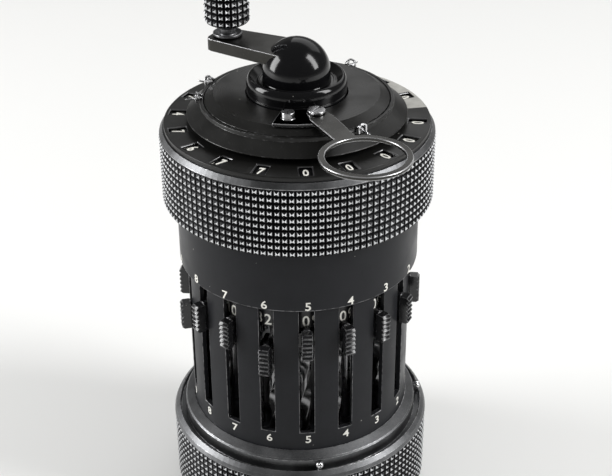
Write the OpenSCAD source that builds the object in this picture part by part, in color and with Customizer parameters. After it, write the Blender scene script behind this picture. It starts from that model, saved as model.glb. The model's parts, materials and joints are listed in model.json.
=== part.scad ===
// Hand-held calculating machine with a stepped drum, a turning carriage and a crank on top.
// Millimetres. The origin is the middle of the base's underside, and +Z is the main shaft's way up.
// The front, -Y, lies midway between setting sliders 4 and 5.

/* [Body] */
// Outer radius of the slotted barrel
barrel_r = 22.4; // [20:0.2:30]
// Wall of the barrel
barrel_wall = 1.0; // [0.8:0.1:1.4]
// Height of barrel that shows between the base and the upper band
barrel_show_h = 33.5; // [31:0.5:45]
// Height of upper band that shows under the carriage
band_show_h = 13.4; // [12:0.2:20]
// How far the upper band stands out past the barrel
band_step = 1.4; // [1.2:0.1:2]

/* [Base] */
// Height of the base, up to the barrel's foot
base_h = 22.4; // [20:0.2:30]
// How far the base stands out past the barrel
base_step = 4.5; // [4.2:0.1:6]
// Height of the smooth foot under the base knurl
base_foot_h = 2.4; // [1.5:0.1:3.5]
// Height of the base's smooth shoulder, from the knurl to its top edge
base_shoulder_h = 4.5; // [4.2:0.1:6]
// Knurl columns round the base
base_cols = 132; // [90:1:150]
// Knurl rows on the base
base_rows = 10; // [6:1:12]

/* [Carriage] */
// How far the knurled ring stands out past the upper band
ring_step = 2.7; // [2.6:0.1:4]
// Height of the knurled part of the ring
ring_knurl_h = 13.6; // [10:0.2:17]
// Height of the smooth rim, from the knurl to the dial plate's face
rim_h = 2.15; // [1.8:0.05:3]
// Knurl columns round the ring
ring_cols = 124; // [90:1:130]
// Knurl rows on the ring
ring_rows = 10; // [6:1:11]
// Depth of every knurl's grooves
knurl_depth = 0.6; // [0.3:0.05:0.6]
// Thickness of the dial plate
plate_t = 0.95; // [0.8:0.05:1.2]
// Length of a dial window, along the radius
window_l = 3.4; // [2.6:0.1:4]
// Width of a dial window
window_w = 2.4; // [1.8:0.1:3]
// Height of the cone on the dial plate
cone_h = 3.95; // [3.6:0.05:6]
// Width of the cone's slope, from above
cone_w = 2.6; // [2:0.1:3.2]
// How far the carriage lifts
carriage_lift = 2.0; // [1.4:0.1:2.4]

/* [Setting sliders] */
// Width of a slot
slot_w = 2.9; // [2.6:0.1:3.4]
// Width of a slider's knob
knob_w = 2.0; // [1.6:0.1:2.4]
// Height of a slider's knob
knob_h = 6.0; // [5:0.1:7.2]
// How far a knob stands out past the barrel
knob_out = 2.2; // [1.6:0.1:2.7]
// Travel for one digit
digit_step = 2.0; // [1.8:0.1:2.2]
// Height of a number drum on a setting spindle
number_drum_h = 6.7; // [5.6:0.1:8.1]
// Gap between neighbouring number drums on the setting spindles
number_drum_gap = 0.3; // [0.2:0.05:1.2]

/* [Drum and shafts] */
// Radius of the main shaft
main_r = 3.0; // [2.5:0.1:3.5]
// Radius of a transmission shaft
shaft_r = 1.0; // [0.7:0.1:1.1]
// Height of a tooth on the stepped drum
tooth_h = 1.2; // [0.8:0.1:1.6]

/* [Clearing lever] */
// Length of the lever, from its pivot to the middle of the finger loop
lever_l = 19.3; // [17.5:0.1:23.5]
// Outer radius of the finger loop
loop_r = 8.1; // [7:0.1:8.5]
// Width of the finger loop's rim
loop_rim = 1.2; // [1:0.1:2]
// Thickness of the lever
lever_t = 0.7; // [0.5:0.05:0.9]

/* [Crank] */
// Radius of the dome over the crank's hub
dome_r = 6.4; // [5.6:0.1:7.5]
// Radius of the collar under the dome
collar_r = 9.55; // [9:0.05:9.6]
// Height of the collar, to its rounded crest
collar_h = 3.6; // [2.8:0.1:4.4]
// Crank radius, from the main shaft to the handle's pin
crank_l = 15.0; // [13:0.5:20]
// Width of the crank arm at the handle's pin
crank_w = 7.4; // [6:0.1:9]
// Thickness of the crank arm
crank_t = 2.4; // [2:0.1:3]
// Radius of the handle's grip
grip_r = 4.4; // [3.6:0.05:5.5]
// Length of the handle's knurled grip
grip_knurl_h = 14.0; // [10:0.2:24]
// How far the crank pulls up for subtraction
crank_lift = 3.0; // [2:0.1:3]

/* [Hidden] */
$fn = 96;
// Angle from one slider, shaft or dial to the next
step_a = 20;
// Angle of the first slider and dial, from the front towards +X
first_a = 70;
slider_count = 9;
result_count = 11;
counter_count = 6;
// The counter dials start after a gap of one and a half steps
counter_a = 100;
lever_slot_a = -110;
// Settings of the nine sliders at rest
settings = [0, 0, 0, 0, 0, 2, 0, 0, 2];
top_marker_a = [24.5, -102.7, -127.5, 131];
base_marker_a = [-4.9, 79.6];

// Clearances
run = 0.05;
gap = 0.15;
wide_gap = 0.3;
fit = 0.02;

// Heights of the fixed body
floor_t = 2.0;
floor_z = base_h - 3;
foot_z = base_h;
band_z = foot_z + barrel_show_h;
barrel_top_z = band_z + 2.2;
bearing_z = barrel_top_z;
bearing_t = 2.0;
ring_z = band_z + band_show_h;
knurl_top_z = ring_z + ring_knurl_h;
dial_z = knurl_top_z + rim_h;

// Radii of the fixed body
barrel_in = barrel_r - barrel_wall;
band_r = barrel_r + band_step;
base_r = barrel_r + base_step;
groove_in = barrel_r + 2.0;
groove_out = groove_in + 1.15;
groove_top_z = base_h - 2.8;
groove_z = groove_top_z - 1.1;
ring_r = band_r + ring_step;
// The number drums stand just inside the barrel, a gap from each other
number_out = barrel_in - 0.4;
number_drum_r = (number_out * sin(step_a / 2) - number_drum_gap / 2) / (1 + sin(step_a / 2));
spindle_pos = number_out - number_drum_r;
screw_r = 1.2;
screw_gap = 0.4;
gear_gap = 0.24;
// The gears clear their neighbours and the screw outside them, and the shafts the number drum
shaft_pos = min((spindle_pos - screw_r - screw_gap + gear_gap) / (1 + sin(step_a / 2)),
  spindle_pos - number_drum_r - shaft_r - gap);
gear_r = shaft_pos * sin(step_a / 2) - gear_gap;
drum_r = shaft_pos - gear_r - wide_gap;
drum_way_r = drum_r + 0.4;

// Carriage, from the dial plate's face down
plate_z = dial_z - plate_t;
wall_in = barrel_r - 3.5;
wall_out = wall_in + 1.4;
dial_in = wall_out + 0.3;
ring_in = ring_r - 1.45;
dial_r = dial_in * sin(step_a / 2) - 0.28;
dial_out = sqrt(ring_in * ring_in - dial_r * dial_r) - gap;
dial_depth = 0.4;
dial_c_z = dial_z - dial_depth - dial_r;
axle_r = 0.7;
pinion_r = wall_in * sin(step_a / 2) - 0.7;
cone_out = barrel_r - 1.4;
rail_out = cone_out - cone_w;
rail_w = 0.6;
cone_z = dial_z + cone_h;
rail_z = cone_z + 0.25;
disc_r = rail_out - rail_w - 0.25;
disc_z = cone_z + 0.1;
disc_t = 1.3;
disc_top_z = disc_z + disc_t;
disc_flat_r = disc_r - 1.8;
head_z = ring_z + 2.7;
head_t = 2.0;
band_top_z = dial_c_z - dial_r - wide_gap - 0.9;

// Centre tube, guide and collar, from the main shaft out
collar_tube_out = 7.9;
tube_in = collar_tube_out + gap;
tube_out = tube_in + 1.0;
guide_in = tube_out + run;
guide_out = guide_in + 1.0;
hub_in = guide_out + run;
hub_out = hub_in + 1.4;
collar_z = disc_top_z - gap;
collar_top_z = collar_z + collar_h;
hub_z = collar_top_z - 1.2;
guide_top_z = collar_z - carriage_lift - wide_gap;
guide_z = head_z + head_t + run;

// Clearing lever, from the disc's face up
lever_plate_t = 0.6;
lever_z = disc_top_z + lever_plate_t + run;
lever_head_h = 0.55;
lever_top_z = lever_z + lever_t + run + lever_head_h;
pivot_pos = 13.4;
pivot_a = 1.5;
pivot_r = 1.0;
stop_pos = 13.6;
stop_a = -20.4;
lever_a = 10.9;

// Crank
arm_rise = 1.75;
arm_z = lever_top_z + carriage_lift + wide_gap + arm_rise;
arm_taper = 0.072;
arm_heel_r = 4.2;
grip_z = arm_z + crank_t + run;
grip_neck_h = 2.8;
grip_cap_h = 1.6;
grip_top_z = grip_z + grip_neck_h + grip_knurl_h + grip_cap_h;
grip_pin_r = 0.9;
crank_a = -133.2;
dome_c_z = collar_top_z + 0.7;

// Setting slider
knob_z = band_z - 7.85;
reversing_z = knob_z - 0.7;
// The shoe behind a knob fills the slot's wall and shows past the knob's ends
shoe_out = 0.35;
shoe_w = knob_w - 0.4;
slot_low_z = knob_z - 9 * digit_step - knob_h / 2 - shoe_out - gap;
slot_top_z = band_z + 1.2;
spindle_top_z = bearing_z + bearing_t - 0.2;
number_z = bearing_z - 0.75 - number_drum_h;
// The nut of a slider at 0, from the knob's middle, stays under the number drum
nut_z = number_z - knob_z - 4.1;
gear_z = knob_z + nut_z - 2.1;

function polar(r, a) = [r * sin(a), -r * cos(a)];
function slider_a(n) = first_a - step_a * (n - 1);
function dial_a(k) = first_a - step_a * (k - 1);
function counter_dial_a(k) = counter_a + step_a * (k - 1);

// Puts its children at an angle round the main shaft, with -Y pointing outwards
module place(a, r = 0) {
  rotate([0, 0, a]) translate([0, -r, 0]) children();
}

// A tube or disc standing on a height
module tube(z, h, r_out, r_in = 0) {
  translate([0, 0, z]) difference() {
    cylinder(h = h, r = r_out);
    if (r_in > 0) translate([0, 0, -1]) cylinder(h = h + 2, r = r_in);
  }
}

// A block whose outer face lies at a radius, centred on its height
module block(r_in, r_out, w, z, h) {
  translate([-w / 2, -r_out, z]) cube([w, r_out - r_in, h]);
}

// A tube whose outside is rows of four-sided pyramids between crossed grooves
module knurl_tube(crest, depth, r_in, z, h, cols, rows) {
  a = 360 / cols;
  pitch = h / rows;
  valley = crest - depth;
  corners = [for (j = [0:rows]) for (i = [0:cols - 1])
    concat(polar(valley / cos(a / 2), i * a), [z + j * pitch])];
  tips = [for (j = [0:rows - 1]) for (i = [0:cols - 1])
    concat(polar(crest, (i + 0.5) * a), [z + (j + 0.5) * pitch])];
  inner = [for (j = [0:1]) for (i = [0:cols - 1]) concat(polar(r_in, i * a), [z + j * h])];
  tip0 = len(corners);
  in0 = tip0 + len(tips);
  function corner(i, j) = (i % cols) + j * cols;
  function tip(i, j) = tip0 + i + j * cols;
  function within(i, j) = in0 + (i % cols) + j * cols;
  pyramids = [for (j = [0:rows - 1]) for (i = [0:cols - 1]) for (side = [0:3])
    side == 0 ? [corner(i, j), tip(i, j), corner(i + 1, j)] :
    side == 1 ? [corner(i + 1, j), tip(i, j), corner(i + 1, j + 1)] :
    side == 2 ? [corner(i + 1, j + 1), tip(i, j), corner(i, j + 1)] :
                [corner(i, j + 1), tip(i, j), corner(i, j)]];
  low_end = [for (i = [0:cols - 1])
    [corner(i, 0), corner(i + 1, 0), within(i + 1, 0), within(i, 0)]];
  high_end = [for (i = [0:cols - 1])
    [within(i, 1), within(i + 1, 1), corner(i + 1, rows), corner(i, rows)]];
  bore = [for (i = [0:cols - 1])
    [within(i, 0), within(i + 1, 0), within(i + 1, 1), within(i, 1)]];
  polyhedron(points = concat(corners, tips, inner),
    faces = concat(pyramids, low_end, high_end, bore), convexity = 6);
}

// A flat bar twisted about its own axis, as a stack of turned rectangles
module twisted_bar(z, h, w, t, turn, layers) {
  rings = [for (j = [0:layers]) for (c = [[-1, -1], [1, -1], [1, 1], [-1, 1]])
    let (a = turn * j / layers, x = c[0] * w / 2, y = c[1] * t / 2)
      [x * cos(a) - y * sin(a), x * sin(a) + y * cos(a), z + h * j / layers]];
  sides = [for (j = [0:layers - 1]) for (i = [0:3])
    let (b = j * 4, n = (i + 1) % 4) each [
      [b + i, b + 4 + n, b + n],
      [b + i, b + 4 + i, b + 4 + n]]];
  last = 4 * layers;
  polyhedron(points = rings,
    faces = concat(sides, [[0, 1, 2, 3], [last + 3, last + 2, last + 1, last]]), convexity = 6);
}

// A spur gear blank with straight teeth, drawn from its bottom face
module gear(r, teeth, h) {
  root = r - 0.55;
  half = 360 / teeth / 4;
  linear_extrude(height = h) polygon([for (t = [0:teeth - 1]) each [
    polar(root, t * 4 * half - half * 1.5),
    polar(r, t * 4 * half - half * 0.7),
    polar(r, t * 4 * half + half * 0.7),
    polar(root, t * 4 * half + half * 1.5)]]);
}

// Finger piece with six saw-cut ribs, on the shoe that fills the slot behind it
module knob() {
  teeth = 6;
  pitch = (knob_h - 0.2) / teeth;
  depth = 0.42;
  face = barrel_r + knob_out;
  low = -teeth * pitch / 2;
  shoe_h = knob_h + 2 * shoe_out - shoe_w;
  profile = concat(
    [[barrel_r + 0.2, -knob_h / 2], [face - depth, -knob_h / 2]],
    [for (t = [0:teeth - 1]) each [
      [face - depth, low + t * pitch],
      [face, low + (t + 0.3) * pitch],
      [face, low + (t + 0.55) * pitch]]],
    [[face - depth, low + teeth * pitch], [face - depth, knob_h / 2], [barrel_r + 0.2, knob_h / 2]]);
  // The profile's radius runs along -Y and its height along Z
  rotate([90, 0, -90]) translate([0, 0, -knob_w / 2]) linear_extrude(height = knob_w)
    polygon(profile);
  block(barrel_in - gap, barrel_r + 0.3, shoe_w, -shoe_h / 2, shoe_h);
  for (side = [-1, 1]) translate([0, gap - barrel_in, side * shoe_h / 2]) rotate([90, 0, 0])
    cylinder(h = barrel_wall + gap + 0.3, r = shoe_w / 2);
}

// Knob, and the nut behind it that runs on the spindle's screw
module slider_body() {
  nut_h = 3;
  knob();
  block(barrel_in - 0.8, barrel_r + 0.3, shoe_w, nut_z, nut_h);
  difference() {
    block(spindle_pos - 1.9, barrel_in - gap, 4.2, nut_z, nut_h);
    translate([0, -spindle_pos, nut_z - 1]) cylinder(h = nut_h + 2, r = screw_r + 0.25);
  }
}

// The gear that the slider shifts along its transmission shaft, held by its grooved hub
module shift_gear() {
  hub = shaft_r + 0.55;
  translate([0, -shaft_pos, 0]) difference() {
    union() {
      gear(gear_r, 10, 2.05);
      translate([0, 0, 2.0]) cylinder(h = 1.5, r = hub);
      translate([0, 0, 3.35]) cylinder(h = 0.5, r = hub + 0.35);
    }
    translate([0, 0, -1]) cylinder(h = 6, r = shaft_r + 0.1);
  }
}

module slider(n) {
  fork_t = 1.2;
  color("#1c1c1e") place(slider_a(n)) translate([0, 0, knob_z - digit_step * settings[n - 1]]) {
    slider_body();
    difference() {
      union() {
        block(shaft_pos, spindle_pos - 1.8, 3.4, nut_z, fork_t);
        translate([0, -shaft_pos, nut_z]) cylinder(h = fork_t, r = 2.2);
      }
      translate([0, -shaft_pos, nut_z - 1]) cylinder(h = fork_t + 2, r = shaft_r + 0.65);
      translate([0, -spindle_pos, nut_z - 1]) cylinder(h = fork_t + 2, r = screw_r + 0.25);
    }
    translate([0, 0, gear_z - knob_z]) shift_gear();
  }
}

// Screw of flat steel twisted one turn for ten digits, under its number drum
module spindle(n) {
  screw_z = floor_z + floor_t + gap;
  screw_h = number_z - screw_z;
  color("#8d8d90") place(slider_a(n), spindle_pos) {
    translate([0, 0, floor_z + 0.3]) cylinder(h = screw_z - floor_z + 0.2, r = 0.8);
    twisted_bar(screw_z, screw_h + 0.01, 2.1, 1.1, 360 * screw_h / (10 * digit_step), 20);
    translate([0, 0, number_z]) cylinder(h = number_drum_h, r = number_drum_r);
    translate([0, 0, number_z]) cylinder(h = spindle_top_z - number_z, r = 0.8);
  }
}

// Number drum with its axle along the radius and its pinion inside the bearing wall
module dial(a) {
  color("#19191b") place(a) translate([0, 0, dial_c_z]) rotate([90, 0, 0]) {
    translate([0, 0, dial_in]) cylinder(h = dial_out - dial_in, r = dial_r);
    translate([0, 0, wall_in - 1.9]) cylinder(h = dial_in - wall_in + 2, r = axle_r);
    translate([0, 0, wall_in - 1.9]) gear(pinion_r, 10, 1.5);
  }
}

module reversing_lever() {
  plate_h = 6;
  color("#1c1c1e") place(lever_slot_a) translate([0, 0, reversing_z]) {
    knob();
    block(barrel_in - 0.8, barrel_r + 0.3, shoe_w, -plate_h / 2, plate_h);
    block(barrel_in - 1.6, barrel_in - gap, 4.2, -plate_h / 2, plate_h);
  }
}

module base_ring() {
  knurl_z = base_foot_h;
  shoulder_z = base_h - base_shoulder_h;
  core_r = base_r - knurl_depth - 0.3;
  color("#4a4b4e") {
    rotate_extrude() polygon([
      [barrel_in - 1, 2.2], [barrel_in + 2.2, 2.2], [barrel_in + 2.2, 0], [base_r - 1.3, 0],
      [base_r - 0.5, 0.8], [base_r - 0.5, knurl_z], [core_r, knurl_z], [core_r, shoulder_z],
      [base_r, shoulder_z], [base_r, shoulder_z + 0.2], [base_r - 0.35, shoulder_z + 0.9],
      [groove_out + 0.25, groove_top_z], [groove_out, groove_top_z - 0.1], [groove_out, groove_z],
      [groove_in, groove_z], [groove_in, base_h - 1.25], [groove_in - 0.25, base_h - 0.95],
      [barrel_r + fit, base_h], [barrel_r + fit, floor_z], [barrel_in - 1, floor_z]]);
    knurl_tube(base_r, knurl_depth, core_r - 0.2, knurl_z, shoulder_z - knurl_z, base_cols, base_rows);
  }
}

module base_cover() {
  color("#2b2b2d") difference() {
    union() {
      tube(0, 2.0, barrel_in + 2.1);
      tube(2.0, crank_lift + 5, main_r + 2.5);
    }
    tube(3.2, crank_lift + 5, main_r + run);
  }
}

module barrel() {
  color("#3a3b3e") difference() {
    union() {
      tube(floor_z, barrel_top_z - floor_z, barrel_r, barrel_in);
      tube(floor_z, floor_t, barrel_in + 0.1);
    }
    for (n = [1:slider_count]) place(slider_a(n)) {
      block(barrel_in - 1, barrel_r + 1, slot_w, slot_low_z, slot_top_z - slot_low_z);
      translate([0, -spindle_pos, floor_z - 1]) cylinder(h = floor_t + 2, r = 0.8 + run);
    }
    place(lever_slot_a)
      block(barrel_in - 1, barrel_r + 1, slot_w, reversing_z - 9, slot_top_z - reversing_z + 9);
    for (k = [1:result_count]) place(dial_a(k), shaft_pos)
      translate([0, 0, floor_z - 1]) cylinder(h = floor_t + 2, r = 0.8 + fit);
    for (k = [1:counter_count]) place(counter_dial_a(k), shaft_pos)
      translate([0, 0, floor_z - 1]) cylinder(h = floor_t + 2, r = 0.8 + fit);
    translate([0, 0, floor_z - 1]) cylinder(h = floor_t + 2, r = main_r + run);
  }
}

// Head casting: the band, the spindles' bearing plate, the head plate and the centre tube
module upper_band() {
  inner = barrel_in - 0.6;
  color("#3a3b3e") difference() {
    rotate_extrude() polygon([
      [barrel_r + fit, band_z], [band_r - 0.3, band_z], [band_r, band_z + 0.3],
      [band_r, band_top_z], [inner, band_top_z], [inner, head_z + head_t],
      [tube_out, head_z + head_t], [tube_out, guide_top_z + 0.6], [tube_in, guide_top_z + 0.6],
      [tube_in, head_z], [inner, head_z], [inner, bearing_z + bearing_t],
      [drum_way_r, bearing_z + bearing_t], [drum_way_r, bearing_z], [barrel_r + fit, bearing_z]]);
    for (n = [1:slider_count]) place(slider_a(n), spindle_pos)
      translate([0, 0, bearing_z - 1]) cylinder(h = bearing_t + 2, r = 0.8 + run);
    for (k = [1:result_count]) place(dial_a(k), shaft_pos)
      translate([0, 0, bearing_z - 1]) cylinder(h = head_z + head_t - bearing_z + 2, r = shaft_r + fit);
    for (k = [1:counter_count]) place(counter_dial_a(k), shaft_pos)
      translate([0, 0, bearing_z - 1]) cylinder(h = head_z + head_t - bearing_z + 2, r = shaft_r + fit);
  }
}

// Bead whose stem runs in the base's groove
module base_marker(k) {
  bead_r = 0.8;
  color("#d0d0d2") place(base_marker_a[k - 1]) {
    translate([0, -(groove_in + groove_out) / 2, groove_z + gap])
      cylinder(h = groove_top_z - groove_z + bead_r, r = (groove_out - groove_in) / 2 - gap);
    translate([0, -groove_in - gap - bead_r, groove_top_z + gap + bead_r]) sphere(r = bead_r);
  }
}

module carriage_ring() {
  core_r = ring_r - knurl_depth - 0.3;
  color("#4a4b4e") {
    rotate_extrude() polygon([
      [band_r + gap, ring_z], [core_r, ring_z], [core_r, knurl_top_z],
      [ring_r - 0.1, knurl_top_z], [ring_r - 0.1, knurl_top_z + 0.2],
      [ring_r - 0.75, plate_z - fit], [ring_in, plate_z - fit], [ring_in, ring_z + 2.2],
      [band_r + gap, ring_z + 2.2]]);
    knurl_tube(ring_r, knurl_depth, core_r - 0.2, ring_z, ring_knurl_h, ring_cols, ring_rows);
  }
}

// Plate with the dial windows, its bearing wall for the dials and its hub on the guide
module dial_plate() {
  hub_top_z = cone_z - 2.6;
  color("#202022") difference() {
    rotate_extrude() polygon([
      [guide_out + run, guide_z + 0.6], [hub_out, guide_z + 0.6], [hub_out, plate_z],
      [wall_in, plate_z], [wall_in, dial_c_z - 2.2], [wall_out, dial_c_z - 2.2], [wall_out, plate_z],
      [ring_r - 1.05, plate_z], [ring_r - 1.05, dial_z - 0.15], [ring_r - 1.2, dial_z],
      [hub_out, dial_z], [hub_out, hub_top_z], [guide_out + run, hub_top_z]]);
    for (k = [1:result_count]) dial_cuts(dial_a(k));
    for (k = [1:counter_count]) dial_cuts(counter_dial_a(k));
  }
}

// The window over one dial, the hollow that the dial turns in, and the bore for its axle
module dial_cuts(a) {
  window_c = (dial_in + dial_out) / 2 + 0.3;
  place(a) {
    block(window_c - window_l / 2, window_c + window_l / 2, window_w, plate_z - 1, plate_t + 2);
    translate([0, 0, dial_c_z]) rotate([90, 0, 0]) {
      translate([0, 0, dial_in - gap]) cylinder(h = dial_out - dial_in + 2 * gap, r = dial_r + gap);
      translate([0, 0, wall_in - 1]) cylinder(h = 3.4, r = axle_r + run);
    }
  }
}

// Cone with the marker rail round its top edge
module top_cone() {
  rail_in = rail_out - rail_w;
  wall = 1.1;
  color("#202022") rotate_extrude() polygon([
    [hub_out + gap, cone_z - wall], [hub_out + gap, cone_z], [rail_in - 0.2, cone_z],
    [rail_in, rail_z], [rail_out - 0.1, rail_z], [rail_out, rail_z - 0.1], [rail_out, cone_z - 0.5],
    [cone_out - 0.1, dial_z + 0.25], [cone_out, dial_z + 0.15], [cone_out, dial_z],
    [cone_out - wall - 0.6, dial_z], [rail_out - wall - 0.6, cone_z - wall]]);
}

// Clip that straddles the rail between two cheeks, with a finger that points at the windows
module top_marker(k) {
  clip_w = 2.0;
  clip_out = rail_out + 0.75;
  cheek_w = 0.45;
  color("#d0d0d2") place(top_marker_a[k - 1]) {
    block(rail_out - rail_w, clip_out, clip_w, rail_z + run, 0.45);
    block(rail_out + 0.1, clip_out, clip_w, rail_z - 0.65, 1.0);
    for (side = [-1, 1]) translate([side * (clip_w - cheek_w) / 2, 0, 0])
      block(rail_out - rail_w, clip_out, cheek_w, rail_z + run, 1.1);
    translate([0, -clip_out + 0.1, rail_z - 0.25]) rotate([90, 0, 0]) cylinder(h = 2.1, r = 0.2);
  }
}

// Disc that carries the clearing lever round the cone's top
module clearing_disc() {
  color("#202022") {
    rotate_extrude() polygon([
      [hub_in, cone_z - 2.4], [hub_out, cone_z - 2.4], [hub_out, disc_z], [disc_r, disc_z],
      [disc_r, disc_z + 0.15], [disc_flat_r, disc_top_z], [collar_r + gap, disc_top_z],
      [collar_r + gap, disc_z], [hub_in, disc_z]]);
  }
}

// Plate fixed on the disc, with the lever's slotted pivot screw and its stop
module lever_plate() {
  slot_turn = 45;
  color("#6c6d70") {
    difference() {
      tube(disc_top_z, lever_plate_t, disc_flat_r + 0.7, collar_r + gap + 0.15);
      place(pivot_a + 7.5) translate([0, -30, disc_top_z - 1]) cube([30, 60, 3]);
      place(stop_a - 9) translate([-30, -30, disc_top_z - 1]) cube([30, 60, 3]);
      translate([-30, 0, disc_top_z - 1]) cube([60, 30, 3]);
    }
    place(pivot_a, pivot_pos) difference() {
      union() {
        translate([0, 0, disc_top_z]) cylinder(h = lever_top_z - disc_top_z, r = pivot_r);
        translate([0, 0, lever_top_z - lever_head_h]) cylinder(h = lever_head_h, r = 1.65);
      }
      rotate([0, 0, slot_turn]) translate([-2, -0.25, lever_top_z - 0.35]) cube([4, 0.5, 1]);
    }
    place(stop_a, stop_pos) translate([0, 0, disc_top_z]) cylinder(h = lever_top_z - disc_top_z - 0.1, r = 1.2);
  }
}

// Flat arm and finger loop, turning on the plate's pivot
module clearing_lever() {
  loop_in = loop_r - loop_rim;
  heel_r = 1.8;
  color("#b9babd") place(pivot_a, pivot_pos) rotate([0, 0, lever_a - pivot_a])
    translate([0, 0, lever_z]) difference() {
      union() {
        linear_extrude(height = lever_t) polygon([
          [-heel_r, 0], [heel_r, 0], [2.3, -heel_r - 0.5], [2.0, -lever_l + loop_r - 0.3],
          [-2.0, -lever_l + loop_r - 0.3], [-2.3, -heel_r - 0.5]]);
        cylinder(h = lever_t, r = heel_r);
        translate([0, -lever_l, 0]) cylinder(h = lever_t, r = loop_r);
      }
      translate([0, 0, -1]) cylinder(h = lever_t + 2, r = pivot_r + run);
      translate([0, -lever_l, -1]) cylinder(h = lever_t + 2, r = loop_in);
    }
}

// Bush with a thick rounded flange, which turns with the crank in the centre tube
module crank_collar() {
  bore_r = main_r + run;
  lip_h = 0.5;
  crest_w = 0.8;
  belly_z = collar_z + collar_h / 2;
  belly = [for (t = [0:12:96]) [
    collar_r - crest_w + crest_w * cos(t), belly_z + (collar_top_z - belly_z) * sin(t)]];
  color("#111113") rotate_extrude() polygon(concat(
    [[bore_r, guide_z + 4], [collar_tube_out, guide_z + 4], [collar_tube_out, collar_z],
      [collar_r - 0.1, collar_z], [collar_r - 0.05, collar_z + 0.1], [collar_r - 0.05, collar_z + lip_h],
      [collar_r - 0.2, collar_z + lip_h + 0.1]],
    belly,
    [[dome_r + 1.2, hub_z + 0.02], [dome_r + 0.8, hub_z + 0.15], [dome_r + 0.6, hub_z + 0.15],
      [dome_r + 0.55, hub_z], [bore_r, hub_z]]));
}

// Dome over the end of the main shaft, slotted for the crank arm
module crank_hub() {
  low_z = hub_z + run;
  color("#111113") difference() {
    rotate_extrude() polygon(concat(
      [[0, low_z], [dome_r + 0.3, low_z], [dome_r + 0.25, low_z + 0.25], [dome_r, low_z + 0.9]],
      [for (t = [0:3:90]) [dome_r * cos(t), dome_c_z + dome_r * sin(t)]]));
    tube(low_z - 1, arm_z + crank_t + 1.5 - low_z, main_r + fit);
    place(crank_a) translate([0, 0, arm_z - fit]) arm_shape(crank_t + 2 * fit, fit);
  }
}

// The arm's tapered outline and its round heel inside the dome, grown by a clearance
module arm_shape(h, grow = 0) {
  end = crank_l + 3.0 + grow;
  corner = 1.3;
  function half(y) = crank_w / 2 + arm_taper * (crank_l - y) + grow;
  linear_extrude(height = h) polygon([
    [-half(0.6), -0.6], [-half(end), -end + corner], [-half(end) + 0.3 * corner, -end + 0.3 * corner],
    [-half(end) + corner, -end], [half(end) - corner, -end],
    [half(end) - 0.3 * corner, -end + 0.3 * corner], [half(end), -end + corner], [half(0.6), -0.6]]);
  cylinder(h = h, r = arm_heel_r + grow);
}

// Flat bar from the shaft to the handle, with the handle's pin riveted in it
module crank_arm() {
  color("#2a2b2d") place(crank_a) {
    difference() {
      translate([0, 0, arm_z]) arm_shape(crank_t);
      tube(arm_z - 1, crank_t + 2, main_r + fit);
    }
    translate([0, -crank_l, arm_z + crank_t - 0.1])
      cylinder(h = grip_top_z - 0.5 - arm_z - crank_t, r = grip_pin_r);
  }
}

// Knurled grip on a thin neck, which ends in a dished foot on the arm
module handle_grip() {
  core_r = grip_r - 0.85;
  bore_r = grip_pin_r + run;
  neck_r = grip_pin_r + 0.6;
  foot_r = grip_pin_r + 1.9;
  knurl_z = grip_z + grip_neck_h;
  cap_z = knurl_z + grip_knurl_h;
  color("#3a3b3e") place(crank_a, crank_l) {
    rotate_extrude() polygon([
      [bore_r, grip_z], [foot_r - 0.3, grip_z], [foot_r, grip_z + 0.25], [foot_r, grip_z + 0.6],
      [foot_r - 0.15, grip_z + 0.7], [neck_r + 0.15, grip_z + 0.3], [neck_r, grip_z + 0.5],
      [neck_r, knurl_z - 1.3], [core_r - 0.5, knurl_z - 0.5], [core_r, knurl_z], [core_r, cap_z],
      [core_r, grip_top_z - 0.4], [core_r - 0.5, grip_top_z], [bore_r, grip_top_z]]);
    knurl_tube(grip_r, knurl_depth, core_r - 0.3, knurl_z, grip_knurl_h, 20, 10);
  }
}

module main_shaft() {
  color("#9a9b9e") tube(3.4, arm_z + crank_t - 0.1 - 3.4, main_r);
}

// Nine teeth of growing length on one side, and the tens bell on top
module step_drum() {
  low_z = floor_z + floor_t + 1.2;
  high_z = number_z;
  bell_z = bearing_z + bearing_t + 0.8;
  root_r = drum_r - tooth_h;
  tooth_step = 12;
  color("#9a9b9e") difference() {
    union() {
      tube(low_z, high_z - low_z, root_r);
      for (t = [1:9]) place(t * tooth_step)
        block(root_r - 0.5, drum_r - 0.05, 1.4, low_z, gear_z - 0.85 - (9 - t) * digit_step - low_z);
      tube(high_z - 0.1, bell_z - high_z + 0.2, main_r + 3);
      tube(bell_z, 5, drum_r - 0.6);
      for (a = [-40, 130]) place(a) block(drum_r - 1.5, drum_r - 0.05, 1.4, bell_z, 2.5);
    }
    tube(low_z - 1, bell_z + 8 - low_z, main_r + fit);
  }
}

// The fixed set of shafts round the drum, each with its driving gear at the top
module transmission_shafts() {
  color("#9a9b9e") {
    for (k = [1:result_count]) place(dial_a(k), shaft_pos) transmission_shaft();
    for (k = [1:counter_count]) place(counter_dial_a(k), shaft_pos) transmission_shaft();
  }
}

module transmission_shaft() {
  top_z = head_z + head_t + gap;
  translate([0, 0, floor_z]) cylinder(h = floor_t + 0.3, r = 0.8);
  translate([0, 0, floor_z + floor_t + 0.1]) cylinder(h = top_z - floor_z - floor_t, r = shaft_r);
  translate([0, 0, top_z]) gear(gear_r, 10, dial_c_z - pinion_r - wide_gap - top_z);
}

// Sleeve that lifts on the centre tube and carries the carriage
module carriage_guide() {
  color("#9a9b9e") {
    tube(guide_z, guide_top_z - guide_z, guide_out, guide_in);
    tube(guide_z, 0.5, hub_out, guide_in);
  }
}

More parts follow.
